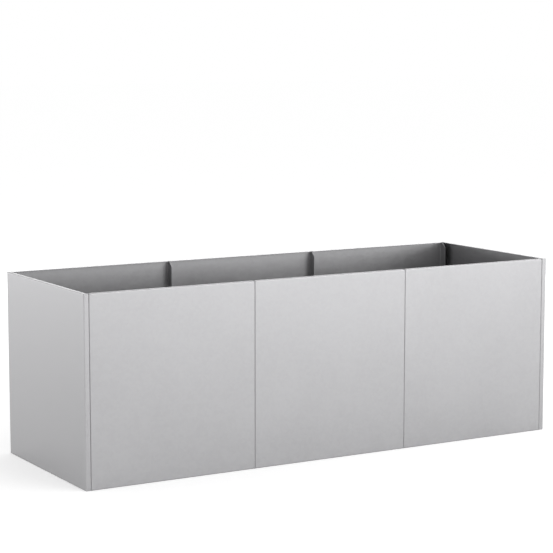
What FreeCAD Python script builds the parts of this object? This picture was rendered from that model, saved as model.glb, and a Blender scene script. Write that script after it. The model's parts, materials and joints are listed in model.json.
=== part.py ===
import FreeCAD, Part
import math
import os
import types

import Sketcher

# A long steel planter bolted together from folded sheet panels.
# Frame: origin at the middle of the base, X along the length, Y from front to back, Z up.

doc = FreeCAD.newDocument("planter")
sheet = doc.addObject("Spreadsheet::Sheet", "Sizes")


class Size:
    """A length with its value in millimetres and the sheet formula that gives it."""

    def __init__(self, value, text):
        self.value = value
        self.text = text

    def __add__(self, other):
        other = as_size(other)
        return Size(self.value + other.value, f"({self.text} + {other.text})")

    def __sub__(self, other):
        other = as_size(other)
        return Size(self.value - other.value, f"({self.text} - {other.text})")

    def __mul__(self, factor):
        return Size(self.value * factor, f"({self.text} * {factor})")

    def __truediv__(self, divisor):
        return Size(self.value / divisor, f"({self.text} / {divisor})")

    def __neg__(self):
        return Size(-self.value, f"(0 - {self.text})")

    __rmul__ = __mul__


def as_size(number):
    """A plain number as a size, or a size as it is."""
    return number if isinstance(number, Size) else Size(number, str(number))


def larger(first, second):
    """The larger of two sizes."""
    return Size(max(first.value, second.value), f"max({first.text}; {second.text})")


# Driving sizes in millimetres, each of them one row of the sheet
DRIVING_SIZES = {
    # Outside of the planter
    "planter_length": 1160,
    "planter_depth": 400,
    "planter_height": 400,
    # Folded sheet
    "sheet_thickness": 1,
    "bend_radius": 1,
    "bend_relief": 1,
    "rim_flange": 8,
    "foot_flange": 20,
    "joint_flange": 20,
    "corner_return": 11.5,
    "fit_clearance": 0.5,
    # Base panels
    "base_lip": 15,
    "drain_diameter": 10,
    "drain_pitch": 110,
    # Tie bars
    "tie_width": 18,
    "tie_thickness": 1.5,
    "tie_corner_clip": 4,
    # Bolts and nuts
    "bolt_diameter": 5,
    "bolt_length": 8,
    "bolt_play": 0.5,
    "bolt_inset": 100,
    "head_flats": 8,
    "head_height": 3.5,
    "nut_flats": 8,
    "nut_height": 4,
    "thread_gap": 0.2,
}

sizes = types.SimpleNamespace()
for row, (alias, value) in enumerate(DRIVING_SIZES.items(), start=1):
    sheet.set(f"A{row}", alias.replace("_", " "))
    sheet.set(f"B{row}", str(value))
    sheet.setAlias(f"B{row}", alias)
    setattr(sizes, alias, Size(value, f"Sizes.{alias}"))
doc.recompute()

# How often things repeat
BAYS = ("left", "middle", "right")
BOLTS_PER_JOINT = 2
DRAINS_PER_BAY = 3

# Sides of the hexagons, and of the shanks, which have few flats because they repeat
HEXAGON_SIDES = 6
SHANK_SIDES = 8

# Sizes that follow from the driving ones
ZERO = as_size(0)
outer_bend = sizes.sheet_thickness + sizes.bend_radius
panel_width = (sizes.planter_length - 2 * sizes.corner_return) / len(BAYS)
corner_plane = sizes.planter_length / 2 - sizes.corner_return
seam_plane = panel_width / 2
wall_line = sizes.planter_depth / 2
bolt_line = (outer_bend + sizes.joint_flange) / 2
bolt_hole = sizes.bolt_diameter + sizes.bolt_play
bolt_rise = sizes.planter_height - 2 * sizes.bolt_inset
bolt_reach = sizes.planter_depth - 2 * bolt_line
upper_row = sizes.planter_height - sizes.bolt_inset
end_foot_half = wall_line - larger(sizes.foot_flange, sizes.joint_flange) - sizes.fit_clearance


def origin_feature(body, role):
    """The body's own origin plane or axis with the given role."""
    return next(feature for feature in body.Origin.OriginFeatures if feature.Role == role)


def new_body(name):
    """An empty body whose label names its file."""
    body = doc.addObject("PartDesign::Body", name)
    body.Label = name
    return body


def new_sketch(body, name, plane, lift=ZERO):
    """A sketch on one of the body's origin planes, lifted along the plane's normal."""
    sketch = body.newObject("Sketcher::SketchObject", f"{body.Name}_{name}")
    sketch.AttachmentSupport = [(origin_feature(body, plane), "")]
    sketch.MapMode = "FlatFace"
    sketch.AttachmentOffset = FreeCAD.Placement(FreeCAD.Vector(0, 0, lift.value), FreeCAD.Rotation())
    sketch.setExpression("AttachmentOffset.Base.z", lift.text)
    return sketch


def pin(sketch, kind, geometry, point, size):
    """Tie one coordinate of a sketch point to a size."""
    place = Sketcher.Constraint(kind, -1, 1, geometry, point, size.value)
    index = sketch.addConstraint(place)
    sketch.setExpression(f"Constraints[{index}]", size.text)


def quarter_arc(centre, start, end):
    """The arc that turns left about its centre from start to end."""
    circle = Part.Circle(centre, FreeCAD.Vector(0, 0, 1), (start - centre).Length)
    first = math.atan2(start.y - centre.y, start.x - centre.x)
    last = math.atan2(end.y - centre.y, end.x - centre.x)
    return Part.ArcOfCircle(circle, first, last if last > first else last + 2 * math.pi)


def closed_outline(sketch, corners, arcs=()):
    """Draw a closed outline; arcs maps an edge's number to its centre and whether it turns left."""
    arcs = dict(arcs)
    first = len(sketch.Geometry)
    count = len(corners)
    places = [FreeCAD.Vector(u.value, v.value, 0) for u, v in corners]
    ends = []
    for edge in range(count):
        start = places[edge]
        end = places[(edge + 1) % count]
        if edge in arcs:
            (centre_u, centre_v), turns_left = arcs[edge]
            centre = FreeCAD.Vector(centre_u.value, centre_v.value, 0)
            arc = quarter_arc(centre, start, end) if turns_left else quarter_arc(centre, end, start)
            sketch.addGeometry(arc)
            ends.append((1, 2) if turns_left else (2, 1))
        else:
            sketch.addGeometry(Part.LineSegment(start, end))
            ends.append((1, 2))
    for edge in range(count):
        following = (edge + 1) % count
        sketch.addConstraint(Sketcher.Constraint(
            "Coincident", first + edge, ends[edge][1], first + following, ends[following][0]))
    for edge, (u, v) in enumerate(corners):
        pin(sketch, "DistanceX", first + edge, ends[edge][0], u)
        pin(sketch, "DistanceY", first + edge, ends[edge][0], v)
    for edge, (centre, turns_left) in arcs.items():
        pin(sketch, "DistanceX", first + edge, 3, centre[0])


def rectangle(sketch, low_u, low_v, high_u, high_v):
    """Draw a rectangle between two opposite corners."""
    closed_outline(sketch, [(low_u, low_v), (high_u, low_v), (high_u, high_v), (low_u, high_v)])


def round_hole(sketch, u, v, diameter):
    """Draw a circle of a given diameter."""
    centre = FreeCAD.Vector(u.value, v.value, 0)
    circle = sketch.addGeometry(Part.Circle(centre, FreeCAD.Vector(0, 0, 1), diameter.value / 2))
    pin(sketch, "DistanceX", circle, 3, u)
    pin(sketch, "DistanceY", circle, 3, v)
    width = sketch.addConstraint(Sketcher.Constraint("Diameter", circle, diameter.value))
    sketch.setExpression(f"Constraints[{width}]", diameter.text)


def unit_step(start, end):
    """The direction of an upright or level step, as a pair of whole numbers."""
    across = end[0].value - start[0].value
    upward = end[1].value - start[1].value
    if abs(across) > abs(upward):
        return (int(math.copysign(1, across)), 0)
    return (0, int(math.copysign(1, upward)))


def moved(point, direction, distance):
    """A point moved along a level or upright direction."""
    return (point[0] + distance * direction[0], point[1] + distance * direction[1])


def folded_outline(sketch, corners):
    """Draw a folded sheet in section.

    The corners are the sharp outer corners from one free edge to the other, and every bend
    turns left. The outer side runs along them with bends of the outer radius, and the inner
    side comes back one sheet thickness to the left, with bends of the inner radius.
    """
    steps = [unit_step(start, end) for start, end in zip(corners, corners[1:])]
    lefts = [(-step[1], step[0]) for step in steps]
    outline = [corners[0]]
    arcs = {}
    inner = []
    for corner, before, after in zip(corners[1:-1], steps, steps[1:]):
        centre = moved(moved(corner, before, -outer_bend), after, outer_bend)
        arcs[len(outline)] = (centre, True)
        outline += [moved(corner, before, -outer_bend), moved(corner, after, outer_bend)]
        inner_near = moved(centre, after, -sizes.bend_radius)
        inner_far = moved(centre, before, sizes.bend_radius)
        inner.append((centre, inner_near, inner_far))
    outline += [corners[-1], moved(corners[-1], lefts[-1], sizes.sheet_thickness)]
    for centre, near, far in reversed(inner):
        arcs[len(outline)] = (centre, False)
        outline += [far, near]
    outline.append(moved(corners[0], lefts[0], sizes.sheet_thickness))
    closed_outline(sketch, outline, arcs)


def pad(body, sketch, length, both_sides=False):
    """Extrude a sketch along its normal, or by half the length to each side."""
    feature = body.newObject("PartDesign::Pad", f"{sketch.Name}_pad")
    feature.Profile = sketch
    feature.SideType = "Symmetric" if both_sides else "One side"
    feature.setExpression("Length", length.text)
    return feature


def pocket(body, sketch, depth=None):
    """Cut a sketch through everything, or to a total depth, half to each side of the sketch."""
    feature = body.newObject("PartDesign::Pocket", f"{sketch.Name}_pocket")
    feature.Profile = sketch
    feature.SideType = "Symmetric"
    if depth is None:
        feature.Type = "ThroughAll"
    else:
        feature.setExpression("Length", depth.text)
    return feature


def pattern(body, features, axis, span, count):
    """Repeat features along one of the body's axes, from their first place to the last."""
    repeat = body.newObject("PartDesign::LinearPattern", f"{features[-1].Name}_row")
    repeat.Originals = features
    repeat.Direction = (origin_feature(body, axis), [""])
    repeat.Occurrences = count
    repeat.setExpression("Length", span.text)
    body.Tip = repeat
    return repeat


def stand(body, x=ZERO, y=ZERO, z=ZERO, turned=False):
    """Place a finished body, turned half round about the upright axis if asked."""
    turn = FreeCAD.Rotation(FreeCAD.Vector(0, 0, 1), 180 if turned else 0)
    body.Placement = FreeCAD.Placement(FreeCAD.Vector(x.value, y.value, z.value), turn)
    body.setExpression("Placement.Base.x", x.text)
    body.setExpression("Placement.Base.y", y.text)
    body.setExpression("Placement.Base.z", z.text)
    return body


# Wall panels
# Local frame of a wall panel: outer face at y = 0, inside towards +y, middle of its width at x = 0.

def wall_panel(name):
    """One front or back panel: upright joint flanges at its sides, a rim and a foot flange."""
    body = new_body(name)
    half = panel_width / 2
    flat_half = half - outer_bend

    sides = new_sketch(body, "sides", "XY_Plane")
    folded_outline(sides, [(-half, sizes.joint_flange), (-half, ZERO),
                           (half, ZERO), (half, sizes.joint_flange)])
    pad(body, sides, sizes.planter_height)

    notches = new_sketch(body, "notches", "XZ_Plane")
    rectangle(notches, -flat_half, sizes.planter_height - outer_bend, flat_half, sizes.planter_height)
    rectangle(notches, -flat_half, ZERO, flat_half, outer_bend)
    pocket(body, notches, 2 * outer_bend)

    edges = new_sketch(body, "edges", "YZ_Plane")
    folded_outline(edges, [(sizes.rim_flange, sizes.planter_height), (ZERO, sizes.planter_height),
                           (ZERO, ZERO), (sizes.foot_flange, ZERO)])
    pad(body, edges, 2 * (flat_half - sizes.bend_relief), both_sides=True)

    corners = new_sketch(body, "corners", "YZ_Plane")
    slope_foot = sizes.planter_height - sizes.joint_flange + sizes.rim_flange
    closed_outline(corners, [(sizes.rim_flange, sizes.planter_height), (sizes.joint_flange, slope_foot),
                             (sizes.joint_flange, sizes.planter_height)])
    pocket(body, corners)

    holes = new_sketch(body, "holes", "YZ_Plane")
    round_hole(holes, bolt_line, sizes.bolt_inset, bolt_hole)
    pattern(body, [pocket(body, holes)], "Z_Axis", bolt_rise, BOLTS_PER_JOINT)
    return body


# End panels
# Local frame of an end panel: outer face at x = 0, inside towards +x, middle of its depth at y = 0.

def end_panel(name):
    """One end panel, returned round both corners to a joint flange behind the long walls' seams."""
    body = new_body(name)
    flat_half = wall_line - outer_bend
    flange_edge = wall_line - sizes.joint_flange

    sides = new_sketch(body, "sides", "XY_Plane")
    folded_outline(sides, [(sizes.corner_return, flange_edge), (sizes.corner_return, wall_line),
                           (ZERO, wall_line), (ZERO, -wall_line),
                           (sizes.corner_return, -wall_line), (sizes.corner_return, -flange_edge)])
    pad(body, sides, sizes.planter_height)

    notches = new_sketch(body, "notches", "YZ_Plane")
    foot_notch_half = end_foot_half + sizes.bend_relief
    rectangle(notches, -flat_half, sizes.planter_height - outer_bend, flat_half, sizes.planter_height)
    rectangle(notches, -foot_notch_half, ZERO, foot_notch_half, outer_bend)
    pocket(body, notches, 2 * outer_bend)

    rim = new_sketch(body, "rim", "XZ_Plane")
    folded_outline(rim, [(sizes.rim_flange, sizes.planter_height), (ZERO, sizes.planter_height),
                         (ZERO, sizes.planter_height / 2)])
    pad(body, rim, 2 * (flat_half - sizes.bend_relief), both_sides=True)

    foot = new_sketch(body, "foot", "XZ_Plane")
    folded_outline(foot, [(ZERO, sizes.planter_height / 2), (ZERO, ZERO), (sizes.foot_flange, ZERO)])
    pad(body, foot, 2 * end_foot_half, both_sides=True)

    flange_middle = sizes.corner_return - sizes.sheet_thickness / 2
    corners = new_sketch(body, "corners", "YZ_Plane", flange_middle)
    slope_foot = sizes.planter_height - sizes.joint_flange + sizes.rim_flange
    rim_edge = wall_line - sizes.rim_flange
    closed_outline(corners, [(-flange_edge, slope_foot), (-flange_edge, sizes.planter_height),
                             (-rim_edge, sizes.planter_height)])
    closed_outline(corners, [(flange_edge, slope_foot), (rim_edge, sizes.planter_height),
                             (flange_edge, sizes.planter_height)])
    pocket(body, corners, 2 * sizes.sheet_thickness)

    holes = new_sketch(body, "holes", "YZ_Plane", flange_middle)
    round_hole(holes, -bolt_reach / 2, sizes.bolt_inset, bolt_hole)
    round_hole(holes, bolt_reach / 2, sizes.bolt_inset, bolt_hole)
    pattern(body, [pocket(body, holes, 2 * sizes.sheet_thickness)], "Z_Axis", bolt_rise, BOLTS_PER_JOINT)
    return body


# Base panels
# Local frame of a base panel: foot of its lips at z = 0, middle of the panel at x = y = 0.

def base_panel(name):
    """One base panel: a flat tray turned upside down on four lips, with a row of drain holes."""
    body = new_body(name)
    half_width = panel_width / 2 - sizes.sheet_thickness - sizes.fit_clearance
    half_depth = wall_line - outer_bend - sizes.fit_clearance
    corner_cut = outer_bend + sizes.bend_relief

    long_lips = new_sketch(body, "long_lips", "YZ_Plane")
    folded_outline(long_lips, [(half_depth, ZERO), (half_depth, sizes.base_lip),
                               (-half_depth, sizes.base_lip), (-half_depth, ZERO)])
    pad(body, long_lips, 2 * (half_width - corner_cut), both_sides=True)

    short_lips = new_sketch(body, "short_lips", "XZ_Plane")
    folded_outline(short_lips, [(half_width, ZERO), (half_width, sizes.base_lip),
                                (-half_width, sizes.base_lip), (-half_width, ZERO)])
    pad(body, short_lips, 2 * (half_depth - corner_cut), both_sides=True)

    drain_row = sizes.drain_pitch * (DRAINS_PER_BAY - 1)
    drain = new_sketch(body, "drain", "XY_Plane")
    round_hole(drain, -drain_row / 2, ZERO, sizes.drain_diameter)
    pattern(body, [pocket(body, drain)], "X_Axis", drain_row, DRAINS_PER_BAY)
    return body


# Tie bars
# Local frame of a tie bar: one face at x = 0, thickness towards +x, middle of the bar at y = z = 0.

def tie_bar(name):
    """One flat bar across the trough, with clipped corners and a bolt hole at each end."""
    body = new_body(name)
    half_length = wall_line - outer_bend - sizes.fit_clearance
    half_width = sizes.tie_width / 2
    clip_y = half_length - sizes.tie_corner_clip
    clip_z = half_width - sizes.tie_corner_clip
    plate = new_sketch(body, "plate", "YZ_Plane")
    closed_outline(plate, [(-clip_y, -half_width), (clip_y, -half_width),
                           (half_length, -clip_z), (half_length, clip_z),
                           (clip_y, half_width), (-clip_y, half_width),
                           (-half_length, clip_z), (-half_length, -clip_z)])
    round_hole(plate, -bolt_reach / 2, ZERO, bolt_hole)
    round_hole(plate, bolt_reach / 2, ZERO, bolt_hole)
    pad(body, plate, sizes.tie_thickness)
    return body


# Fasteners
# Local frame of a pair of fasteners: joint plane at x = 0, bolt axis along x, head towards +x.

def even_polygon(sketch, sides, point_diameter):
    """Draw a regular polygon about the origin with its points on a circle."""
    corners = []
    for step in range(sides):
        angle = 2 * math.pi * (step + 0.5) / sides
        corners.append((point_diameter * (math.cos(angle) / 2), point_diameter * (math.sin(angle) / 2)))
    closed_outline(sketch, corners)


def across_points(flats):
    """The width of a hexagon across its points, from its width across flats."""
    return flats / math.cos(math.pi / HEXAGON_SIDES)


def bolt_pair(name, head_stack, axis, span):
    """Two hexagon bolts whose heads sit on the given thickness in front of the joint plane."""
    body = new_body(name)
    body.AllowCompound = True
    hexagon = new_sketch(body, "hexagon", "YZ_Plane", head_stack)
    even_polygon(hexagon, HEXAGON_SIDES, across_points(sizes.head_flats))
    head = pad(body, hexagon, sizes.head_height)
    round_bar = new_sketch(body, "round_bar", "YZ_Plane", head_stack)
    even_polygon(round_bar, SHANK_SIDES, sizes.bolt_diameter)
    shank = pad(body, round_bar, sizes.bolt_length)
    shank.Reversed = True
    pattern(body, [head, shank], axis, span, BOLTS_PER_JOINT)
    return body


def nut_pair(name, axis, span):
    """Two hexagon nuts that sit on the sheet behind the joint plane."""
    body = new_body(name)
    body.AllowCompound = True
    hexagon = new_sketch(body, "hexagon", "YZ_Plane", -sizes.sheet_thickness)
    even_polygon(hexagon, HEXAGON_SIDES, across_points(sizes.nut_flats))
    even_polygon(hexagon, SHANK_SIDES, sizes.bolt_diameter + sizes.thread_gap)
    prism = pad(body, hexagon, sizes.nut_height)
    prism.Reversed = True
    pattern(body, [prism], axis, span, BOLTS_PER_JOINT)
    return body


def fastened(joint, x, y, z, turned, head_stack, axis, span):
    """The bolts and nuts of one joint, as two bodies in the same place."""
    pair = [bolt_pair(f"{joint}_bolts", head_stack, axis, span), nut_pair(f"{joint}_nuts", axis, span)]
    return [stand(body, x, y, z, turned) for body in pair]


# Assembly
subparts = []

for bay, name in enumerate(BAYS):
    bay_middle = panel_width * (bay - (len(BAYS) - 1) / 2)
    subparts.append(stand(wall_panel(f"front_panel_{name}"), bay_middle, -wall_line))
    subparts.append(stand(wall_panel(f"back_panel_{name}"), bay_middle, wall_line, turned=True))
    subparts.append(stand(base_panel(f"base_panel_{name}"), bay_middle, z=sizes.sheet_thickness))

for side, name, turned in ((-1, "left", False), (1, "right", True)):
    subparts.append(stand(end_panel(f"end_panel_{name}"), sizes.planter_length / 2 * side, turned=turned))
    tie_face = (seam_plane - sizes.sheet_thickness) * side
    subparts.append(stand(tie_bar(f"tie_bar_{name}"), tie_face, z=upper_row, turned=turned))
    for wall, wall_side in (("front", -1), ("back", 1)):
        subparts += fastened(f"{wall}_{name}_corner", corner_plane * side, bolt_reach / 2 * wall_side,
                             sizes.bolt_inset, turned, sizes.sheet_thickness, "Z_Axis", bolt_rise)
    first_end = bolt_reach / 2 * side
    subparts += fastened(f"{name}_seam", seam_plane * side, first_end, sizes.bolt_inset, turned,
                         sizes.sheet_thickness, "Y_Axis", bolt_reach)
    subparts += fastened(f"{name}_tie", seam_plane * side, first_end, upper_row, turned,
                         sizes.sheet_thickness + sizes.tie_thickness, "Y_Axis", bolt_reach)

doc.recompute()

# Checks before anything is written
failed = [item.Name for item in doc.Objects if "Invalid" in item.State or "Error" in item.State]
if failed:
    raise RuntimeError("features that did not build: " + ", ".join(failed))
for item in doc.Objects:
    if item.TypeId == "PartDesign::Pocket" and item.Shape.Volume >= item.BaseFeature.Shape.Volume:
        raise RuntimeError(item.Name + " cuts nothing")
for body in subparts:
    if body.Shape.isNull() or not body.Shape.isValid():
        raise RuntimeError(body.Label + " is not a valid solid")

os.makedirs("parts", exist_ok=True)
for body in subparts:
    body.Shape.exportStep(f"parts/{body.Label}.step")
    print(f"{body.Label}: {len(body.Shape.Solids)} solids, {body.Shape.Volume:.0f} cubic millimetres")
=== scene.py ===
# %% [markdown]
# # A planter of folded galvanized sheet
# The planter is a long trough that comes flat in a box: three wall panels along the front, three
# along the back and one at each end. All are cut from thin zinc-coated steel, folded at their
# edges and bolted together through the flanges inside. Base panels stand on the folded feet of
# the walls, and two flat bars tie the long walls together.
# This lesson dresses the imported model. Each panel is cut as a flat blank, folded along its bend
# lines and given its thickness, in the order in which a sheet shop makes it.

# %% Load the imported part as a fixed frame
import json

import bpy
import numpy as np
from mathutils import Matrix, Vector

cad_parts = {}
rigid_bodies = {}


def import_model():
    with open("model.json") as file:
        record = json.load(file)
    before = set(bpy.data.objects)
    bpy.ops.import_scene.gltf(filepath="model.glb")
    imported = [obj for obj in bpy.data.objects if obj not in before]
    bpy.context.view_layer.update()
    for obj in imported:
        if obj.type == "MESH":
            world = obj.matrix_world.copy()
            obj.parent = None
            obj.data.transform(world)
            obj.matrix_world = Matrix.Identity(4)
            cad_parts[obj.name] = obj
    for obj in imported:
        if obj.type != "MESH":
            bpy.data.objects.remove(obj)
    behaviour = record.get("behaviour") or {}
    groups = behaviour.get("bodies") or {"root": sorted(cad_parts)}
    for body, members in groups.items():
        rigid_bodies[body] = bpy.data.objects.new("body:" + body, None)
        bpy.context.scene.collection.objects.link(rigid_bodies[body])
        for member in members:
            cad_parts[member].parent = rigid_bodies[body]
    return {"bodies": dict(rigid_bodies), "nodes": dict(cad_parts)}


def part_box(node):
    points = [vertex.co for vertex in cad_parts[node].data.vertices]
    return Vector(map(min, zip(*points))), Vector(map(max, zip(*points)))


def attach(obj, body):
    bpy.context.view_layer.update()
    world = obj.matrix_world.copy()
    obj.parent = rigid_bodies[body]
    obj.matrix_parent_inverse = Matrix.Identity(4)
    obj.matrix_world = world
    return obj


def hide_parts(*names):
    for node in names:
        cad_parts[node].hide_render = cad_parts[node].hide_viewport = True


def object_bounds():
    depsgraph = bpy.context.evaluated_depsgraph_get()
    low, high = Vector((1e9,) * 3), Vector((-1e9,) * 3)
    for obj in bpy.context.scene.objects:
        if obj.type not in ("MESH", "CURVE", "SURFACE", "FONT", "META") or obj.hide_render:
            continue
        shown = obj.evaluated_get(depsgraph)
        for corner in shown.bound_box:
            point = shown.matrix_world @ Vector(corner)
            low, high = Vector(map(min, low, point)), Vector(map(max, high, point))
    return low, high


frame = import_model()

# The start-up scene's own objects are no part of the planter or its studio.
for leftover in set(bpy.data.objects) - set(frame["nodes"].values()) - set(frame["bodies"].values()):
    bpy.data.objects.remove(leftover)
cad_box = [list(corner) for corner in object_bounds()]
print("CAD box in metres:", np.round(cad_box, 4).tolist())

# %% [markdown]
# ## Sums on shader sockets
# A finish is a small sum: a base value, plus a little crystal pattern, minus a little cloud. In the
# shader editor each plus sign is a Math node, which soon hides the sum. A class that wraps a socket
# and overloads the operators lets the sum be written as a sum, and the nodes follow from it.

# %% A socket that can be reckoned with
NOISE_DETAIL = 2.0
NOISE_MIDDLE = 0.5
# A Mix node has sockets for every kind of value. These are the numbers of the ones for colours.
MIX_SHARE, MIX_FIRST, MIX_SECOND, MIX_RESULT = 0, 6, 7, 2


class Wire:
    """An output socket of a node tree. A sum of wires and numbers adds its Math nodes."""

    def __init__(self, tree, socket=None):
        self.tree = tree
        self.socket = socket

    def add(self, kind, settings, sockets, give=0):
        """Add any node: its settings come first, then a value or a wire for each named socket."""
        node = self.tree.nodes.new(kind)
        for name, value in settings.items():
            setattr(node, name, value)
        for name, value in sockets.items():
            if isinstance(value, Wire):
                self.tree.links.new(value.socket, node.inputs[name])
            else:
                node.inputs[name].default_value = value
        return Wire(self.tree, node.outputs[give])

    def math(self, operation, *values):
        """A Math node on wires and numbers."""
        return self.add("ShaderNodeMath", {"operation": operation}, dict(enumerate(values)))

    def stretched(self, factors):
        """The vector times one factor for each axis."""
        return self.add("ShaderNodeVectorMath", {"operation": "MULTIPLY"}, {0: self, 1: factors})

    def noise(self, scale, detail=NOISE_DETAIL, give=0):
        """Soft noise between 0 and 1 at the place that this wire gives."""
        sockets = {"Vector": self, "Scale": scale, "Detail": detail}
        return self.add("ShaderNodeTexNoise", {}, sockets, give)

    def swing(self):
        """A value between 0 and 1 as a swing about zero."""
        return self - NOISE_MIDDLE

    def clipped(self):
        """The value held between 0 and 1."""
        return self.add("ShaderNodeClamp", {}, {"Value": self})

    def mix(self, first, second):
        """A colour between two colours, with this wire as the share of the second."""
        colours = {MIX_SHARE: self, MIX_FIRST: first, MIX_SECOND: second}
        return self.add("ShaderNodeMix", {"data_type": "RGBA"}, colours, MIX_RESULT)

    def __add__(self, other):
        return self.math("ADD", self, other)

    def __sub__(self, other):
        return self.math("SUBTRACT", self, other)

    def __rsub__(self, other):
        return self.math("SUBTRACT", other, self)

    def __mul__(self, other):
        return self.math("MULTIPLY", self, other)

    __radd__ = __add__
    __rmul__ = __mul__


print("wires can be added, subtracted and multiplied")

# %% Start a finish and connect it
def new_finish(name, source, settings, give, **constants):
    """A finish with its fixed values set on the shader, and the wire that its pattern starts from."""
    finish = bpy.data.materials.new(name)
    finish.use_nodes = True
    tree = finish.node_tree
    shader = tree.nodes["Principled BSDF"]
    for socket, value in constants.items():
        shader.inputs[socket.replace("_", " ")].default_value = value
    start = Wire(tree).add(source, settings, {}, give)
    return finish, shader, start


def connect(shader, **wires):
    """Link each wire to the shader's socket of that name, with underscores for spaces."""
    for name, wire in wires.items():
        wire.tree.links.new(wire.socket, shader.inputs[name.replace("_", " ")])


def in_mm(length):
    """A length in millimetres, as text."""
    return f"{length * 1000:.2f} mm"


print("a finish is one shader and the wires that feed it")

# %% [markdown]
# ## Galvanized sheet
# Zinc freezes on the steel in flat crystals, the spangle. On sheet that has been rolled once more
# after the zinc bath the spangle is small and faint, and the surface is a satin silver with soft
# clouds and very fine rolling lines. The pattern could sit in the room, but then it would cut
# straight through a fold. Here it reads the place on the flat blank, which each panel carries as an
# attribute, so crystals and lines run round every bend as they do on real sheet. Where the press
# brake has worked the sheet, the zinc is rubbed a little brighter, and this lighter colour along the
# bends is partly a painted highlight.

# %% The pattern on the blank
CRYSTAL = 0.006
CRYSTAL_RAGGED = 0.3
CLOUD = 0.16
ROLLING_LINE = 0.0012
ROLLING_RUN = 0.12
FINE_DETAIL = 3.0

galvanized, shader, blank_place = new_finish(
    "galvanized_sheet", "ShaderNodeAttribute", {"attribute_name": "blank"}, "Vector", Metallic=1.0)
wobble = blank_place.noise(1 / CRYSTAL, give="Color")
ragged_place = blank_place.add(
    "ShaderNodeVectorMath", {"operation": "MULTIPLY_ADD"},
    {0: wobble, 1: (CRYSTAL_RAGGED * CRYSTAL,) * 3, 2: blank_place})
crystal_colour = blank_place.add(
    "ShaderNodeTexVoronoi", {}, {"Vector": ragged_place, "Scale": 1 / CRYSTAL}, "Color")
crystal = blank_place.add("ShaderNodeSeparateColor", {}, {"Color": crystal_colour}).swing()
cloud = blank_place.noise(1 / CLOUD, FINE_DETAIL).swing()
rolling_place = blank_place.stretched((1 / ROLLING_RUN, 1 / ROLLING_LINE, 1.0))
rolling = rolling_place.noise(1.0, FINE_DETAIL).swing()
worked = blank_place.add("ShaderNodeAttribute", {"attribute_name": "worked"}, {}, "Fac")
print("crystals are about", in_mm(CRYSTAL), "wide and rolling lines", in_mm(ROLLING_LINE))

# %% The finish of the sheet
SHEET_SHADE = (0.345, 0.343, 0.351, 1.0)
SHEET_LIGHT = (0.391, 0.389, 0.397, 1.0)
MID_LIGHT = 0.5
CRYSTAL_LIGHT = 0.34
CLOUD_LIGHT = 0.42
ROLLING_LIGHT = 0.30
WORKED_RUB_AND_HIGHLIGHT = 0.35
SHEET_ROUGHNESS = 0.40
CRYSTAL_DULL = 0.06
CLOUD_DULL = 0.08
ROLLING_DULL = 0.06
WORKED_POLISH = 0.06
PEEL = 0.0025
ROLLING_RELIEF = 0.6
BUMP_STRENGTH = 0.03
BUMP_HEIGHT = 0.0002

# The worked term lightens the colour along the bends: rubbed zinc, and partly a painted highlight.
lightness = (MID_LIGHT + CRYSTAL_LIGHT * crystal + CLOUD_LIGHT * cloud
             + ROLLING_LIGHT * rolling + WORKED_RUB_AND_HIGHLIGHT * worked)
roughness = (SHEET_ROUGHNESS + CRYSTAL_DULL * crystal + CLOUD_DULL * cloud
             + ROLLING_DULL * rolling - WORKED_POLISH * worked)
relief = blank_place.noise(1 / PEEL) + ROLLING_RELIEF * rolling
bump = {"Height": relief, "Strength": BUMP_STRENGTH, "Distance": BUMP_HEIGHT}
connect(
    shader,
    Base_Color=lightness.clipped().mix(SHEET_SHADE, SHEET_LIGHT),
    Roughness=roughness,
    Normal=blank_place.add("ShaderNodeBump", {}, bump),
)
print("finish:", galvanized.name)

# %% [markdown]
# ## Cut edges
# Where the shear or the laser cut the blank, the steel core shows between two skins of zinc: a
# narrow, duller band with fine marks across the sheet. It could be painted by position, but the
# thickness is made by a Solidify modifier, which can give the rim its own material slot.

# %% The finish of the cut edges
CUT_MARK = 0.0006
CUT_DETAIL = 1.0
CUT_DARK = (0.30, 0.30, 0.31, 1.0)
CUT_LIGHT = (0.46, 0.46, 0.47, 1.0)
CUT_ROUGHNESS = 0.42
CUT_MARK_DULL = 0.16

cut_edge, shader, place = new_finish(
    "cut_sheet_edge", "ShaderNodeTexCoord", {}, "Object", Metallic=1.0)
marks = place.noise(1 / CUT_MARK, CUT_DETAIL)
connect(
    shader,
    Base_Color=marks.mix(CUT_DARK, CUT_LIGHT),
    Roughness=CUT_ROUGHNESS + CUT_MARK_DULL * marks,
)
print("finish:", cut_edge.name)

# %% [markdown]
# ## Zinc-plated fasteners
# Bolts and nuts are plated in a bath that leaves a thinner, brighter zinc than the sheet has, with
# a trace of blue and straw from the passivation. An image of plated metal could be wrapped round
# them, but each small face would need its place in a UV map. Two soft noises on the object's own
# place are enough: one drifts the colour, the other dulls the plating in spots.

# %% The finish of the bolts and nuts
PLATING_DRIFT = 0.006
PLATING_SPOT = 0.0012
PLATING_BLUE = (0.58, 0.61, 0.66, 1.0)
PLATING_STRAW = (0.66, 0.64, 0.58, 1.0)
PLATING_ROUGHNESS = 0.20
PLATING_SPOT_DULL = 0.18

plated, shader, place = new_finish(
    "zinc_fasteners", "ShaderNodeTexCoord", {}, "Object", Metallic=1.0)
drift = place.noise(1 / PLATING_DRIFT)
spots = place.noise(1 / PLATING_SPOT, FINE_DETAIL)
connect(
    shader,
    Base_Color=drift.mix(PLATING_BLUE, PLATING_STRAW),
    Roughness=PLATING_ROUGHNESS + PLATING_SPOT_DULL * spots,
)
print("finish:", plated.name)

# %% [markdown]
# ## Cutting a blank
# A sheet shop draws a panel flat, as a blank: an outline with reliefs at the ends of the bend lines
# and with holes. A boolean could cut the holes from a finished solid, but it leaves long thin faces
# that shade badly. Here the blank is a grid of cutting lines. Cells outside the outline fall away,
# and a hole takes a small square of cells out and fills it with a ring of faces.

# %% Ruled lines
LINE_DIGITS = 9


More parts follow.
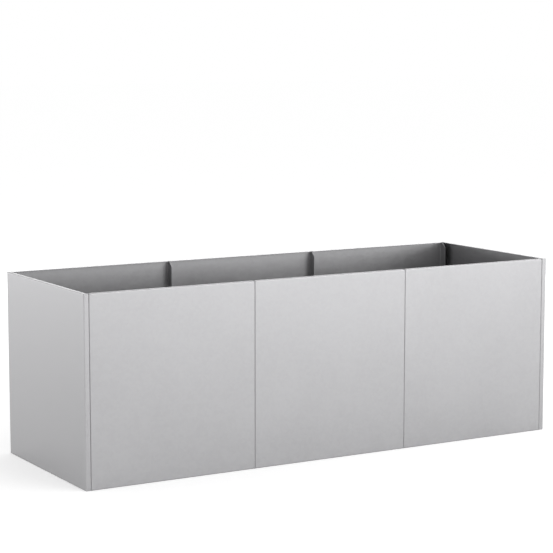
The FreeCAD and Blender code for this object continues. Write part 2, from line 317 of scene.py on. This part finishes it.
def ruled(*runs):
    """Cutting lines from runs of (start, end, steps), each of them divided evenly."""
    lines = np.concatenate([np.linspace(start, end, steps + 1) for start, end, steps in runs])
    return np.unique(np.round(lines, LINE_DIGITS))


def both_sides(lines):
    """The same lines on both sides of zero."""
    return np.unique(np.concatenate([-lines, lines]))


print("lines that agree to", LINE_DIGITS, "digits are one line")

# %% Cut a blank on ruled lines
TINY = 1e-6


def cut_blank(across, upward, outline, holes, radius, square):
    """A flat blank as places and faces.

    The places are every crossing of the two sets of lines. A cell is kept if the outline says so for
    its middle. A hole drops the cells in a square about its centre. Each place on the square's edge
    gets a partner on the circle, at the same angle, and the faces between them make the ring.
    """
    grid = np.stack(np.meshgrid(across, upward, indexing="ij"), axis=-1)
    number = np.arange(len(across) * len(upward)).reshape(len(across), len(upward))
    cells = np.stack([number[:-1, :-1], number[1:, :-1], number[1:, 1:], number[:-1, 1:]], axis=-1)
    middle = (grid[:-1, :-1] + grid[1:, 1:]) / 2
    kept = outline(np.abs(middle[..., 0]), middle[..., 1])
    crossings = grid.reshape(-1, 2)
    places = [crossings]
    rings = []
    count = len(crossings)
    for hole in np.asarray(holes):
        kept &= np.abs(middle - hole).max(axis=-1) > square
        offset = crossings - hole
        edge = np.flatnonzero(np.isclose(np.abs(offset).max(axis=-1), square, rtol=0, atol=TINY))
        angle = np.arctan2(offset[edge, 1], offset[edge, 0])
        edge = edge[np.argsort(angle)]
        angle = np.sort(angle)
        rim = count + np.arange(len(edge))
        places.append(hole + radius * np.stack([np.cos(angle), np.sin(angle)], axis=-1))
        rings.append(np.stack([rim, edge, np.roll(edge, -1), np.roll(rim, -1)], axis=-1))
        count += len(edge)
    faces = np.concatenate([cells[kept], *rings])
    used, faces = np.unique(faces, return_inverse=True)
    return np.concatenate(places)[used], faces.reshape(-1, 4)


print("blanks are cut on ruled lines")

# %% [markdown]
# ## Folding a blank
# A press brake turns the sheet through a quarter circle about a small radius, and leaves it flat on
# both sides. A Simple Deform modifier can bend a plane too, but only about one line, and a panel has
# up to six. A fold needs no mesh tool: the distance of a place past the bend line tells how far it
# runs ahead, how far it swings aside, and how far it goes on past the bend. The formula is given
# whole arrays, and every fold of every panel uses it.

# %% The quarter turn of a bend
SHEET = 0.001
BEND = 0.002
RELIEF = 0.001
QUARTER = BEND * np.pi / 2
BEND_STEPS = 8


def quarter_turn(beyond):
    """Where a sheet is, a given distance beyond the start of a bend.

    The angle grows with the distance up to a right angle. The sheet has run ahead by the radius
    times the sine, swung aside by the radius times one minus the cosine, and what is left of the
    distance goes on past the bend. The last value is how hard the place was worked: a hump that is
    one in the middle of the bend and zero on the flats.
    """
    share = np.clip(beyond / QUARTER, 0, 1)
    angle = share * np.pi / 2
    past = np.maximum(beyond - QUARTER, 0)
    return BEND * np.sin(angle), BEND * (1 - np.cos(angle)), past, 4 * share * (1 - share)


print("bend allowance on the outside:", in_mm(QUARTER))

# %% [markdown]
# ## From folded places to a piece
# Each panel becomes a mesh of its outer skin. The inner skin could be folded by the same formula with
# a smaller radius, but then the two would have to be joined along every cut. Solidify adds the
# sheet's thickness on the inside and closes the cut edges by itself, and a small Bevel breaks those
# edges, because a real cut edge is never perfectly sharp and catches a thin line of light. The place
# on the flat blank and the worked bends go along as attributes for the finish.

# %% Make a piece, and say what it stands for
def new_piece(name, places, faces, materials):
    """A mesh object at the origin, with its place in its mesh."""
    mesh = bpy.data.meshes.new(name)
    mesh.from_pydata(places.tolist(), [], faces)
    mesh.shade_smooth()
    for material in materials:
        mesh.materials.append(material)
    piece = bpy.data.objects.new(name, mesh)
    bpy.context.scene.collection.objects.link(piece)
    return piece


def stand_for(piece, node):
    """The piece rides with the planter and is shown instead of the CAD node."""
    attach(piece, "root")
    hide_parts(node)


print("nodes to stand for:", len(frame["nodes"]))

# %% Make a piece of sheet
EDGE_BREAK = 0.00012
EDGE_SEGMENTS = 2
EDGE_ANGLE = np.radians(50)
TO_THE_INSIDE = -1.0
CUT_EDGE_SLOT = 1
BLANK_SPACING = 3.0
blanks_cut = []


def carry(piece, name, kind, field, values):
    """Give each place of a piece a value of its own, for the finish to read."""
    attribute = piece.data.attributes.new(name, kind, "POINT")
    attribute.data.foreach_set(field, values.astype(np.float32).ravel())


def sheet_piece(name, node, blank, faces, places, worked, thickness=SHEET):
    """A folded sheet: outer skin, thickness towards the inside, broken edges, and its attributes.

    The blanks lie one after the other along the coil, so no two of them have the same clouds.
    """
    piece = new_piece(name, places, faces.tolist(), [galvanized, cut_edge])
    along_coil = np.full((len(blank), 1), BLANK_SPACING * len(blanks_cut))
    blanks_cut.append(name)
    carry(piece, "blank", "FLOAT_VECTOR", "vector", np.hstack([blank, along_coil]))
    carry(piece, "worked", "FLOAT", "value", worked)
    wall = piece.modifiers.new("thickness", "SOLIDIFY")
    wall.thickness = thickness
    wall.offset = TO_THE_INSIDE
    wall.use_even_offset = True
    wall.material_offset_rim = CUT_EDGE_SLOT
    edges = piece.modifiers.new("broken_edges", "BEVEL")
    edges.width = EDGE_BREAK
    edges.segments = EDGE_SEGMENTS
    edges.limit_method = "ANGLE"
    edges.angle_limit = EDGE_ANGLE
    piece.modifiers.new("flat_shading", "WEIGHTED_NORMAL")
    stand_for(piece, node)


print("pieces of sheet are", in_mm(SHEET), "thick, with edges broken by", in_mm(EDGE_BREAK))

# %% [markdown]
# ## The shape of a panel
# All eight wall and end panels fold alike: flanges at the sides, a narrow rim at the top and a foot
# at the bottom, all turned inwards. The ends differ in one way: they turn round the corner for a
# short return before their flange turns in. Two functions could fold them, and would have to be kept
# alike. One serves both here, because a wall is a panel whose return never ends.

# %% Sizes of a panel
RIM = 0.008


def corners(box):
    """The lowest and the highest corner of a box, as arrays."""
    low, high = box
    return np.array(low), np.array(high)


wall_low, wall_high = corners(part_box("front_panel_left"))
end_low, end_high = corners(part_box("end_panel_left"))
HEIGHT = wall_high[2]
FLANGE = wall_high[1] - wall_low[1]
FOOT = end_high[0] - end_low[0]
RIM_LINE = HEIGHT - BEND
FOOT_EDGE = BEND - QUARTER - (FOOT - BEND)
RIM_EDGE = RIM_LINE + QUARTER + (RIM - BEND)
print("panel height", in_mm(HEIGHT), "flange", in_mm(FLANGE), "foot", in_mm(FOOT))

# %% Fold a panel
def fold_panel(blank, flat_half, rim_half, foot_half, return_run):
    """Places along the panel, into the trough and up, and how hard each was worked.

    Sideways, a place turns at the end of the flat face, and again at the end of the return. The
    height is the place's own, turned inwards above the rim line and below the foot line, but only
    between the reliefs. Outside them the sheet stays upright to its cut end. The flange's top corner
    is sloped down from the rim's depth at 45 degrees.
    """
    across, upward = blank.T
    ahead, aside, past, worked = quarter_turn(np.abs(across) - flat_half)
    ahead_2, aside_2, past_2, worked_2 = quarter_turn(past - return_run)
    along = np.minimum(np.abs(across), flat_half) + ahead - aside_2 - past_2
    inward = aside + np.minimum(past, return_run) + ahead_2
    depth = inward if np.isinf(return_run) else aside_2 + past_2

    top_ahead, top_aside, top_past, top_worked = quarter_turn(upward - RIM_LINE)
    foot_ahead, foot_aside, foot_past, foot_worked = quarter_turn(BEND - upward)
    fold_half = np.where(upward > HEIGHT / 2, rim_half, foot_half)
    folded = np.abs(across) <= fold_half + TINY
    rise = np.clip(upward, BEND, RIM_LINE) + top_ahead - foot_ahead
    upright = np.interp(upward, [BEND - QUARTER, BEND, RIM_LINE, RIM_LINE + QUARTER],
                        [0, BEND, RIM_LINE, HEIGHT])
    height = np.where(folded, rise, upright)
    inward = inward + folded * (top_aside + top_past + foot_aside + foot_past)

    slope_from = HEIGHT - 2 * FLANGE
    slope_share = np.maximum(height - slope_from, 0) / (HEIGHT - slope_from)
    height = height - slope_share * np.maximum(depth - RIM, 0)
    worked = worked + worked_2 + folded * (top_worked + foot_worked)
    return np.stack([np.sign(across) * along, inward, height], axis=-1), worked


print("a panel folds at", in_mm(BEND), "and", in_mm(RIM_LINE), "of its height")

# %% The outline of a panel, and its place
def panel_outline(rim_half, foot_half):
    """The outline as a test on the middle of a cell, with a relief at each end of rim and foot."""
    def kept(across, upward):
        above = (upward > RIM_LINE) & (across > rim_half)
        below = (upward < BEND) & (across > foot_half)
        relief = (above & (across < rim_half + RELIEF)) | (below & (across < foot_half + RELIEF))
        past_end = (above & (upward > RIM_LINE + QUARTER)) | (below & (upward < BEND - QUARTER))
        return ~(relief | past_end)
    return kept


def stood(places, face_middle, inward):
    """Panel places as places of the planter: the panel's inward side faces along a unit direction."""
    along = np.array([inward[1], -inward[0]])
    level = face_middle + places[:, :1] * along + places[:, 1:2] * np.asarray(inward)
    return np.hstack([level, places[:, 2:]])


print("reliefs are", in_mm(RELIEF), "wide")

# %% [markdown]
# ## Front and back panels
# Six equal panels make the long walls. Where two of them meet, their rounded bends leave the thin
# dark groove that shows as a seam. The groove could be a dark line painted on one long wall, but it
# would stay a line from close by. The bolt holes in the flanges are read from where the bolts are,
# so that holes and bolts agree. One blank is cut and folded once, and stood in six places.

# %% Where the bolts are
HEX_FLATS = 0.008
HEX_POINTS = HEX_FLATS / np.cos(np.pi / 6)


def pair_places(node):
    """Where the axes of a pair of hexagon fasteners cross the YZ plane, first and last."""
    low, high = corners(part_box(node))
    half = np.array([HEX_FLATS, HEX_POINTS]) / 2
    return low[1:] + half, high[1:] - half


first_bolt, last_bolt = pair_places("front_left_corner_bolts")
BOLT_ROWS = (first_bolt[1], last_bolt[1])
BOLT_LINE = first_bolt[0] - wall_low[1]
print("bolts at heights of", " and ".join(in_mm(row) for row in BOLT_ROWS))

# %% Cutting lines of a panel
BOLT_HOLE = 0.00275
BOLT_SQUARE = 0.005
BOLT_RING_STEPS = 4
NARROW_STEPS = 1
SHORT_STEPS = 2
FOOT_STEPS = 4
WALL_STEPS = 8

rows = [(FOOT_EDGE, BEND - QUARTER, FOOT_STEPS), (BEND - QUARTER, BEND, BEND_STEPS)]
row_start = BEND
for bolt_row in BOLT_ROWS:
    rows.append((row_start, bolt_row - BOLT_SQUARE, WALL_STEPS))
    rows.append((bolt_row - BOLT_SQUARE, bolt_row + BOLT_SQUARE, BOLT_RING_STEPS))
    row_start = bolt_row + BOLT_SQUARE
rows.append((row_start, RIM_LINE, WALL_STEPS))
rows.append((RIM_LINE, RIM_LINE + QUARTER, BEND_STEPS))
rows.append((RIM_LINE + QUARTER, RIM_EDGE, SHORT_STEPS))
panel_rows = ruled(*rows)


def flange_runs(start):
    """Where the bolt holes are on a flange that starts at the end of its bend, and its runs."""
    hole = start + BOLT_LINE - BEND
    runs = [(start, hole - BOLT_SQUARE, SHORT_STEPS),
            (hole - BOLT_SQUARE, hole + BOLT_SQUARE, BOLT_RING_STEPS),
            (hole + BOLT_SQUARE, start + FLANGE - BEND, SHORT_STEPS)]
    return hole, runs


def bolt_holes(hole):
    """Hole centres on the blank: both flanges, every row."""
    return [(side * hole, row) for side in (-1, 1) for row in BOLT_ROWS]


print("cutting lines up a panel:", len(panel_rows))

# %% Cut, fold and stand the wall panels
FACE_STEPS = 12
BAYS = ("left", "middle", "right")

wall_flat = (wall_high[0] - wall_low[0]) / 2 - BEND
wall_rim = wall_flat - RELIEF
wall_hole, wall_flange_runs = flange_runs(wall_flat + QUARTER)
wall_lines = both_sides(ruled(
    (0, wall_rim, FACE_STEPS),
    (wall_rim, wall_flat, NARROW_STEPS),
    (wall_flat, wall_flat + QUARTER, BEND_STEPS),
    *wall_flange_runs,
))
wall_blank, wall_faces = cut_blank(
    wall_lines, panel_rows, panel_outline(wall_rim, wall_rim),
    bolt_holes(wall_hole), BOLT_HOLE, BOLT_SQUARE)
wall_places, wall_worked = fold_panel(wall_blank, wall_flat, wall_rim, wall_rim, np.inf)

for wall, inward in (("front", (0, 1)), ("back", (0, -1))):
    for bay in BAYS:
        node = f"{wall}_panel_{bay}"
        low, high = corners(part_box(node))
        face_middle = np.array([(low[0] + high[0]) / 2, low[1] if wall == "front" else high[1]])
        sheet_piece(f"{wall}_sheet_{bay}", node, wall_blank, wall_faces,
                    stood(wall_places, face_middle, inward), wall_worked)
print("wall panel:", len(wall_faces), "faces on the outer skin")

# %% [markdown]
# ## End panels
# An end panel turns round both corners by a short return, so that the corner itself is a smooth
# bend and the seam lies on the long side. Its foot stops short of the long walls' flanges. It could
# be a wall panel with two strips joined on, but the corner would then be a join too. As one blank
# with one more fold on each side, it gets the same round bend as every other edge.

# %% Cut, fold and stand the end panels
FOOT_CLEARANCE = 0.0005
CORNER_RETURN = wall_low[0] - end_low[0]

end_flat = (end_high[1] - end_low[1]) / 2 - BEND
end_rim = end_flat - RELIEF
end_foot = end_flat + BEND - FLANGE - FOOT_CLEARANCE
return_run = CORNER_RETURN - 2 * BEND
return_start = end_flat + QUARTER
return_end = return_start + return_run
end_hole, end_flange_runs = flange_runs(return_end + QUARTER)
end_lines = both_sides(ruled(
    (0, end_foot, FACE_STEPS),
    (end_foot, end_foot + RELIEF, NARROW_STEPS),
    (end_foot + RELIEF, end_rim, SHORT_STEPS),
    (end_rim, end_flat, NARROW_STEPS),
    (end_flat, return_start, BEND_STEPS),
    (return_start, return_end, SHORT_STEPS),
    (return_end, return_end + QUARTER, BEND_STEPS),
    *end_flange_runs,
))
end_blank, end_faces = cut_blank(
    end_lines, panel_rows, panel_outline(end_rim, end_foot),
    bolt_holes(end_hole), BOLT_HOLE, BOLT_SQUARE)
end_places, end_worked = fold_panel(end_blank, end_flat, end_rim, end_foot, return_run)

for side, inward in (("left", (1, 0)), ("right", (-1, 0))):
    node = f"end_panel_{side}"
    low, high = corners(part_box(node))
    face_middle = np.array([low[0] if side == "left" else high[0], 0.0])
    sheet_piece(f"end_sheet_{side}", node, end_blank, end_faces,
                stood(end_places, face_middle, inward), end_worked)
print("end panel:", len(end_faces), "faces, corner return", in_mm(CORNER_RETURN))

# %% [markdown]
# ## Base panels
# Each base panel is a shallow tray turned upside down: a flat top with a row of drain holes, and
# four lips that stand on the walls' feet. A box with its bottom deleted and its edges bevelled comes
# near, but its lips would join at the corners. The real blank is a cross, with the corners cut out so
# that the lips can fold. Cut and folded in the same way, the open corners come by themselves.

# %% The blank of a base panel
DRAIN = 0.005
DRAIN_SQUARE = 0.009
DRAIN_PITCH = 0.110
DRAINS = (-DRAIN_PITCH, 0.0, DRAIN_PITCH)
DRAIN_RING_STEPS = 8
DRAIN_GAP_STEPS = 6
SIDE_STEPS = 4
LIP_STEPS = 3

base_low, base_high = corners(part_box("base_panel_middle"))
base_flat = (base_high - base_low)[:2] / 2 - BEND
LIP_RUN = base_high[2] - base_low[2] - BEND


def lip_runs(flat):
    """Cutting runs over the edge of the tray: the relief, the bend and the lip."""
    lip_start = flat + QUARTER
    return [(flat - RELIEF, flat, NARROW_STEPS),
            (flat, lip_start, BEND_STEPS),
            (lip_start, lip_start + LIP_RUN, LIP_STEPS)]


first_drain_run = (0, DRAIN_SQUARE, DRAIN_RING_STEPS // 2)
base_across = both_sides(ruled(
    first_drain_run,
    (DRAIN_SQUARE, DRAIN_PITCH - DRAIN_SQUARE, DRAIN_GAP_STEPS),
    (DRAIN_PITCH - DRAIN_SQUARE, DRAIN_PITCH + DRAIN_SQUARE, DRAIN_RING_STEPS),
    (DRAIN_PITCH + DRAIN_SQUARE, base_flat[0] - RELIEF, SIDE_STEPS),
    *lip_runs(base_flat[0]),
))
base_upward = both_sides(ruled(
    first_drain_run,
    (DRAIN_SQUARE, base_flat[1] - RELIEF, FACE_STEPS),
    *lip_runs(base_flat[1]),
))
print("base panel: lips of", in_mm(LIP_RUN + BEND), "and drains of", in_mm(2 * DRAIN))

# %% Cut, fold and lay the base panels
def base_outline(across, upward):
    """A cross: the corner squares, up to the reliefs, are cut out."""
    return ~((across > base_flat[0] - RELIEF) & (np.abs(upward) > base_flat[1] - RELIEF))


def fold_tray(blank):
    """A tray's places about its middle: each edge runs over its bend, and drops by its lip."""
    ahead, aside, past, worked = quarter_turn(np.abs(blank) - base_flat)
    level = np.sign(blank) * (np.minimum(np.abs(blank), base_flat) + ahead)
    drop = (aside + past).sum(axis=1, keepdims=True)
    return np.hstack([level, -drop]), worked.sum(axis=1)


base_blank, base_faces = cut_blank(
    base_across, base_upward, base_outline, [(x, 0.0) for x in DRAINS], DRAIN, DRAIN_SQUARE)
base_places, base_worked = fold_tray(base_blank)

for bay in BAYS:
    node = f"base_panel_{bay}"
    low, high = corners(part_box(node))
    top_middle = np.array([(low[0] + high[0]) / 2, (low[1] + high[1]) / 2, high[2]])
    sheet_piece(f"base_sheet_{bay}", node, base_blank, base_faces, base_places + top_middle, base_worked)
print("base panel:", len(base_faces), "faces,", len(DRAINS), "drains")

# %% [markdown]
# ## Tie bars
# Two flat bars cross the trough at the seams and keep the long walls from bowing out. Each is a strip
# with clipped corners and a hole at both ends. A stretched cube would do from afar, but it has
# neither. Cut as a blank, the strip gets its holes as the panels do, a short formula clips its
# corners, and it needs no fold at all.

# %% Cut and place the tie bars
TIE_CLIP = 0.004
TIE_SQUARE = 0.004
TIE_STEPS = 20

tie_low, tie_high = corners(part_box("tie_bar_left"))
tie_half = (tie_high - tie_low)[1:] / 2
tie_hole = abs(last_bolt[0])
tie_across = both_sides(ruled(
    (0, tie_hole - TIE_SQUARE, TIE_STEPS),
    (tie_hole - TIE_SQUARE, tie_hole + TIE_SQUARE, BOLT_RING_STEPS),
    (tie_hole + TIE_SQUARE, tie_half[0] - TIE_CLIP, NARROW_STEPS),
    (tie_half[0] - TIE_CLIP, tie_half[0], SHORT_STEPS),
))
tie_upward = both_sides(ruled(
    (0, TIE_SQUARE, BOLT_RING_STEPS // 2),
    (TIE_SQUARE, tie_half[1], SHORT_STEPS),
))


def whole(across, upward):
    """An outline that keeps every cell."""
    return np.full(across.shape, True)


def clip_corners(blank):
    """The strip's height shrinks at 45 degrees over the clipped length at both ends."""
    clipped = np.maximum(np.abs(blank[:, 0]) - (tie_half[0] - TIE_CLIP), 0)
    return np.stack([blank[:, 0], blank[:, 1] * (1 - clipped / tie_half[1])], axis=-1)


tie_blank, tie_faces = cut_blank(
    tie_across, tie_upward, whole, [(-tie_hole, 0.0), (tie_hole, 0.0)], BOLT_HOLE, TIE_SQUARE)
tie_blank = clip_corners(tie_blank)

for side in ("left", "right"):
    node = f"tie_bar_{side}"
    low, high = corners(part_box(node))
    face = np.full((len(tie_blank), 1), high[0])
    places = np.hstack([face, tie_blank + (low[1:] + high[1:]) / 2])
    sheet_piece(f"tie_strip_{side}", node, tie_blank, tie_faces, places, np.zeros(len(places)),
                thickness=high[0] - low[0])
print("tie bar:", len(tie_faces), "faces,", in_mm(2 * tie_half[0]), "long")

# %% [markdown]
# ## Bolts and nuts
# A hexagon head is a six-sided bar that was turned to a shallow cone at its top, so each flat ends
# in an arc. It could be a boolean of a prism and a cone. As a surface it is simpler: at every angle
# the radius is that of the hexagon, and the height falls with that radius along the cone. The thread
# is the same idea: the radius waves along the axis, and the wave turns with the angle.

# %% Turned surfaces
ANGLE_STEPS = 48
CHAMFER_CIRCLE = 0.0038
CONE_SLOPE = np.tan(np.radians(30))
turn = np.arange(ANGLE_STEPS) * 2 * np.pi / ANGLE_STEPS
hexagon = HEX_FLATS / 2 / np.cos((turn + np.pi / 6) % (np.pi / 3) - np.pi / 6)
cone_drop = (hexagon - CHAMFER_CIRCLE) * CONE_SLOPE


def turned(stations):
    """Places of a turned surface: one ring per station of (height, radius), over all angles.

    A ring lies at its height along X, and at the radius times the cosine and the sine of the angle
    along Y and Z. Both values of a station may change with the angle.
    """
    rings = [np.broadcast_arrays(height, radius, turn)[:2] for height, radius in stations]
    height, radius = (np.array(part) for part in zip(*rings))
    return np.stack([height, radius * np.cos(turn), radius * np.sin(turn)], axis=-1).reshape(-1, 3)


def ring_faces(stations, closed):
    """Faces between neighbouring rings, and from the last ring to the first on a closed section."""
    number = np.arange(stations * ANGLE_STEPS).reshape(stations, ANGLE_STEPS)
    following = np.roll(number, -1, axis=0) if closed else number[1:]
    number = number if closed else number[:-1]
    sides = [number, following, np.roll(following, -1, axis=1), np.roll(number, -1, axis=1)]
    return np.stack(sides, axis=-1).reshape(-1, 4)


print("hexagon", in_mm(HEX_FLATS), "across flats and", in_mm(HEX_POINTS), "across points")

# %% The bolt
HEAD_HEIGHT = 0.0035
SHANK = 0.0025
THREAD_PITCH = 0.0008
THREAD_DEPTH = 0.00042
THREAD_STEPS = 6
TIP_CHAMFER = 0.0005


def bolt_surface(length):
    """A bolt whose head sits on the plane at zero: head, bearing face, threaded shank and tip.

    The thread's radius is the shank's, less its depth times a triangle wave of height over pitch plus
    turns. The wave fades in under the head and out at the tip.
    """
    thread_end = -length + TIP_CHAMFER
    heights = np.linspace(0, thread_end, int(-thread_end / THREAD_PITCH * THREAD_STEPS))
    fade = np.clip(np.minimum(-heights, heights - thread_end) / THREAD_PITCH, 0, 1)
    phase = heights[:, None] / THREAD_PITCH + turn / (2 * np.pi)
    wave = 1 - 2 * np.abs(phase % 1 - 0.5)
    threads = SHANK - THREAD_DEPTH * fade[:, None] * wave
    stations = [(HEAD_HEIGHT, CHAMFER_CIRCLE), (HEAD_HEIGHT - cone_drop, hexagon), (0.0, hexagon)]
    stations += list(zip(heights, threads))
    stations.append((-length, SHANK - TIP_CHAMFER))
    places = turned(stations)
    top = np.arange(ANGLE_STEPS)
    tip = len(places) - 1 - top
    return places, [ring_faces(len(stations), False), np.stack([top, tip])]


print("thread pitch", in_mm(THREAD_PITCH), "on a shank of", in_mm(2 * SHANK))

# %% The nut
NUT_HEIGHT = 0.004
BORE = 0.0026


def nut_surface():
    """A nut on the plane at zero, below it: both ends coned, with a chamfered bore through it."""
    mouth = BORE + TIP_CHAMFER
    stations = [
        (0.0, mouth),
        (0.0, CHAMFER_CIRCLE),
        (-cone_drop, hexagon),
        (cone_drop - NUT_HEIGHT, hexagon),
        (-NUT_HEIGHT, CHAMFER_CIRCLE),
        (-NUT_HEIGHT, mouth),
        (TIP_CHAMFER - NUT_HEIGHT, BORE),
        (-TIP_CHAMFER, BORE),
    ]
    return turned(stations), [ring_faces(len(stations), True)]


print("nut", in_mm(NUT_HEIGHT), "high with a bore of", in_mm(2 * BORE))

# %% [markdown]
# ## Fasteners at every joint
# The bolts of a joint are one node with two solids, and so are the nuts. An Array modifier could
# repeat them, but at the corners the two stand one above the other, at the seams they lie across the
# trough, and they face two ways. Each pair is placed by its node's box instead: the heads point to
# the middle of the planter, and the nuts sit behind the flanges.

# %% Bolt the joints
SHARP_ANGLE = np.radians(28)


def pair_of(surface, node, name, seat, facing):
    """Two copies of a turned surface on one seat plane, turned to face along X."""
    places, face_groups = surface
    pair = []
    pair_faces = []
    for spot in pair_places(node):
        first = len(places) * len(pair)
        pair.append(places * (facing, facing, 1) + (seat, *spot))
        for faces in face_groups:
            pair_faces += (faces + first).tolist()
    piece = new_piece(name, np.concatenate(pair), pair_faces, [plated])
    piece.data.set_sharp_from_angle(angle=SHARP_ANGLE)
    stand_for(piece, node)


bolt_nodes = sorted(name for name in frame["nodes"] if name.endswith("_bolts"))
for bolts in bolt_nodes:
    low, high = corners(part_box(bolts))
    facing = -np.sign(low[0])
    head_top, tip = (high[0], low[0]) if facing > 0 else (low[0], high[0])
    length = abs(head_top - tip) - HEAD_HEIGHT
    joint = bolts.removesuffix("_bolts")
    pair_of(bolt_surface(length), bolts, f"{joint}_hex_bolts", head_top - facing * HEAD_HEIGHT, facing)
    low, high = corners(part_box(f"{joint}_nuts"))
    nut_seat = high[0] if facing > 0 else low[0]
    pair_of(nut_surface(), f"{joint}_nuts", f"{joint}_hex_nuts", nut_seat, facing)
print("joints bolted:", len(bolt_nodes))

# %% [markdown]
# ## Floor and sky
# The planter stands in a plain white studio. The floor is pale and takes a soft shadow. Stronger
# lamps could make it white, but they would burn out the metal. Instead it gives back a little light
# of its own, only to the camera and to rays that come off the metal, so the planter is not lit by it.
# Below the planter it gives none, so that the drain holes stay dark. The sky does the same as the
# floor: white to look at, dimmer as a light.

# %% The floor
FLOOR_HALF = 30.0
FLOOR_PALE = (0.85, 0.85, 0.85, 1.0)
FLOOR_LIFT = 0.30
BLACK = (0.0, 0.0, 0.0, 1.0)
WHITE = (1.0, 1.0, 1.0, 1.0)
SEEN_RAYS = ("Is Camera Ray", "Is Glossy Ray", "Is Transmission Ray")


def seen(start):
    """One for a ray from the camera or off or through a glossy surface, zero for other rays."""
    camera, glossy, through = (start.add("ShaderNodeLightPath", {}, {}, ray) for ray in SEEN_RAYS)
    return (camera + glossy + through).clipped()


def under_planter(place):
    """One on the floor below the planter, zero outside its footprint."""
    inside = []
    for axis, half in zip("XY", cad_box[1]):
        along = place.add("ShaderNodeSeparateXYZ", {}, {"Vector": place}, axis)
        inside.append(along.math("LESS_THAN", along.math("ABSOLUTE", along), half))
    return inside[0] * inside[1]


floor_paint, shader, floor_place = new_finish(
    "floor_paint", "ShaderNodeTexCoord", {}, "Object",
    Base_Color=FLOOR_PALE, Roughness=1.0, Specular_IOR_Level=0.0, Emission_Strength=FLOOR_LIFT)
lifted = seen(floor_place) * (1 - under_planter(floor_place))
connect(shader, Emission_Color=lifted.mix(BLACK, WHITE))
floor_corners = FLOOR_HALF * np.array([(-1, -1, 0), (1, -1, 0), (1, 1, 0), (-1, 1, 0)])
floor = new_piece("studio_floor", floor_corners, [(0, 1, 2, 3)], [floor_paint])
print("floor:", 2 * FLOOR_HALF, "m across")

# %% The sky
SKY_SEEN = 1.0
SKY_LIGHT = 0.82

sky = bpy.data.worlds.new("studio_sky")
bpy.context.scene.world = sky
sky.use_nodes = True
background = sky.node_tree.nodes["Background"]
background.inputs["Color"].default_value = WHITE
connect(background, Strength=SKY_LIGHT + (SKY_SEEN - SKY_LIGHT) * seen(Wire(sky.node_tree)))
print("sky:", SKY_SEEN, "to look at,", SKY_LIGHT, "as a light")

# %% [markdown]
# ## Lamps
# Flat satin metal mirrors the studio in a blurred way, so a wall shows what stands opposite to it.
# Under one even sky every wall would be an even grey. Low wide lamps, a little above the rim, are
# mirrored most by the upper part of a wall, which makes each wall fade from bright at the rim to
# darker at the foot. One of them stands off each corner of the planter, long ones on the right and
# short ones on the left. One high lamp off the front right corner is mirrored mostly by the round
# bend of the front's rim, and draws the bright line along it.

# %% The lamps
LONG_LAMP = {"place": (1.7, 2.4, 0.75), "width": 3.4, "height": 0.6}
SHORT_LAMP = {"place": (2.0, 2.1, 0.45), "width": 2.0, "height": 0.3}
HIGH_LAMP = {"place": (1.5, 2.6, 2.1), "width": 3.4, "height": 0.8}
planter_middle = np.mean(cad_box, axis=0)


def soft_lamp(name, corner, watts, place, width, height):
    """A rectangular lamp off a corner, which looks to the planter and which the camera doesn't see."""
    data = bpy.data.lights.new(name, "AREA")
    data.shape = "RECTANGLE"
    data.size = width
    data.size_y = height
    data.energy = watts
    lamp = bpy.data.objects.new(name, data)
    bpy.context.scene.collection.objects.link(lamp)
    stand = np.array([*corner, 1]) * place
    back = stand - planter_middle
    back /= np.linalg.norm(back)
    lamp.location = stand
    lamp.rotation_euler = (np.arccos(back[2]), 0.0, np.arctan2(back[0], -back[1]))
    lamp.visible_camera = False
    return lamp


lamps = [
    soft_lamp("front_right_lamp", corner=(1, -1), watts=26.0, **LONG_LAMP),
    soft_lamp("back_left_lamp", corner=(-1, 1), watts=7.5, **SHORT_LAMP),
    soft_lamp("back_right_lamp", corner=(1, 1), watts=18.0, **LONG_LAMP),
    soft_lamp("front_left_lamp", corner=(-1, -1), watts=4.0, **SHORT_LAMP),
    soft_lamp("front_high_lamp", corner=(1, -1), watts=24.0, **HIGH_LAMP),
]
print("lamps:", len(lamps), "with", sum(lamp.data.energy for lamp in lamps), "watts")

# %% [markdown]
# ## Camera
# The long lens stands to the left of the front, a little above the rim, and looks slightly down. It
# could be set by eye, with the photograph behind the view. Its place was worked out instead from the
# corners of the planter in the photograph, whose size in the part is known, because a long lens hides
# a wrong distance from the eye.

# %% The camera
CAMERA_PLACE = (-2.05245, -3.46706, 0.90142)
CAMERA_YAW = 0.53009
CAMERA_PITCH = 0.13012
CAMERA_LENS = 118.475
SENSOR_WIDTH = 36.0

camera_data = bpy.data.cameras.new("camera")
camera_data.lens = CAMERA_LENS
camera_data.sensor_width = SENSOR_WIDTH
camera = bpy.data.objects.new("camera", camera_data)
bpy.context.scene.collection.objects.link(camera)
camera.location = CAMERA_PLACE
camera.rotation_euler = (np.pi / 2 - CAMERA_PITCH, 0.0, -CAMERA_YAW)
bpy.context.scene.camera = camera
bpy.context.scene.view_settings.view_transform = "Standard"
print("camera", round(float(np.linalg.norm(CAMERA_PLACE)), 2), "m from the middle of the base")
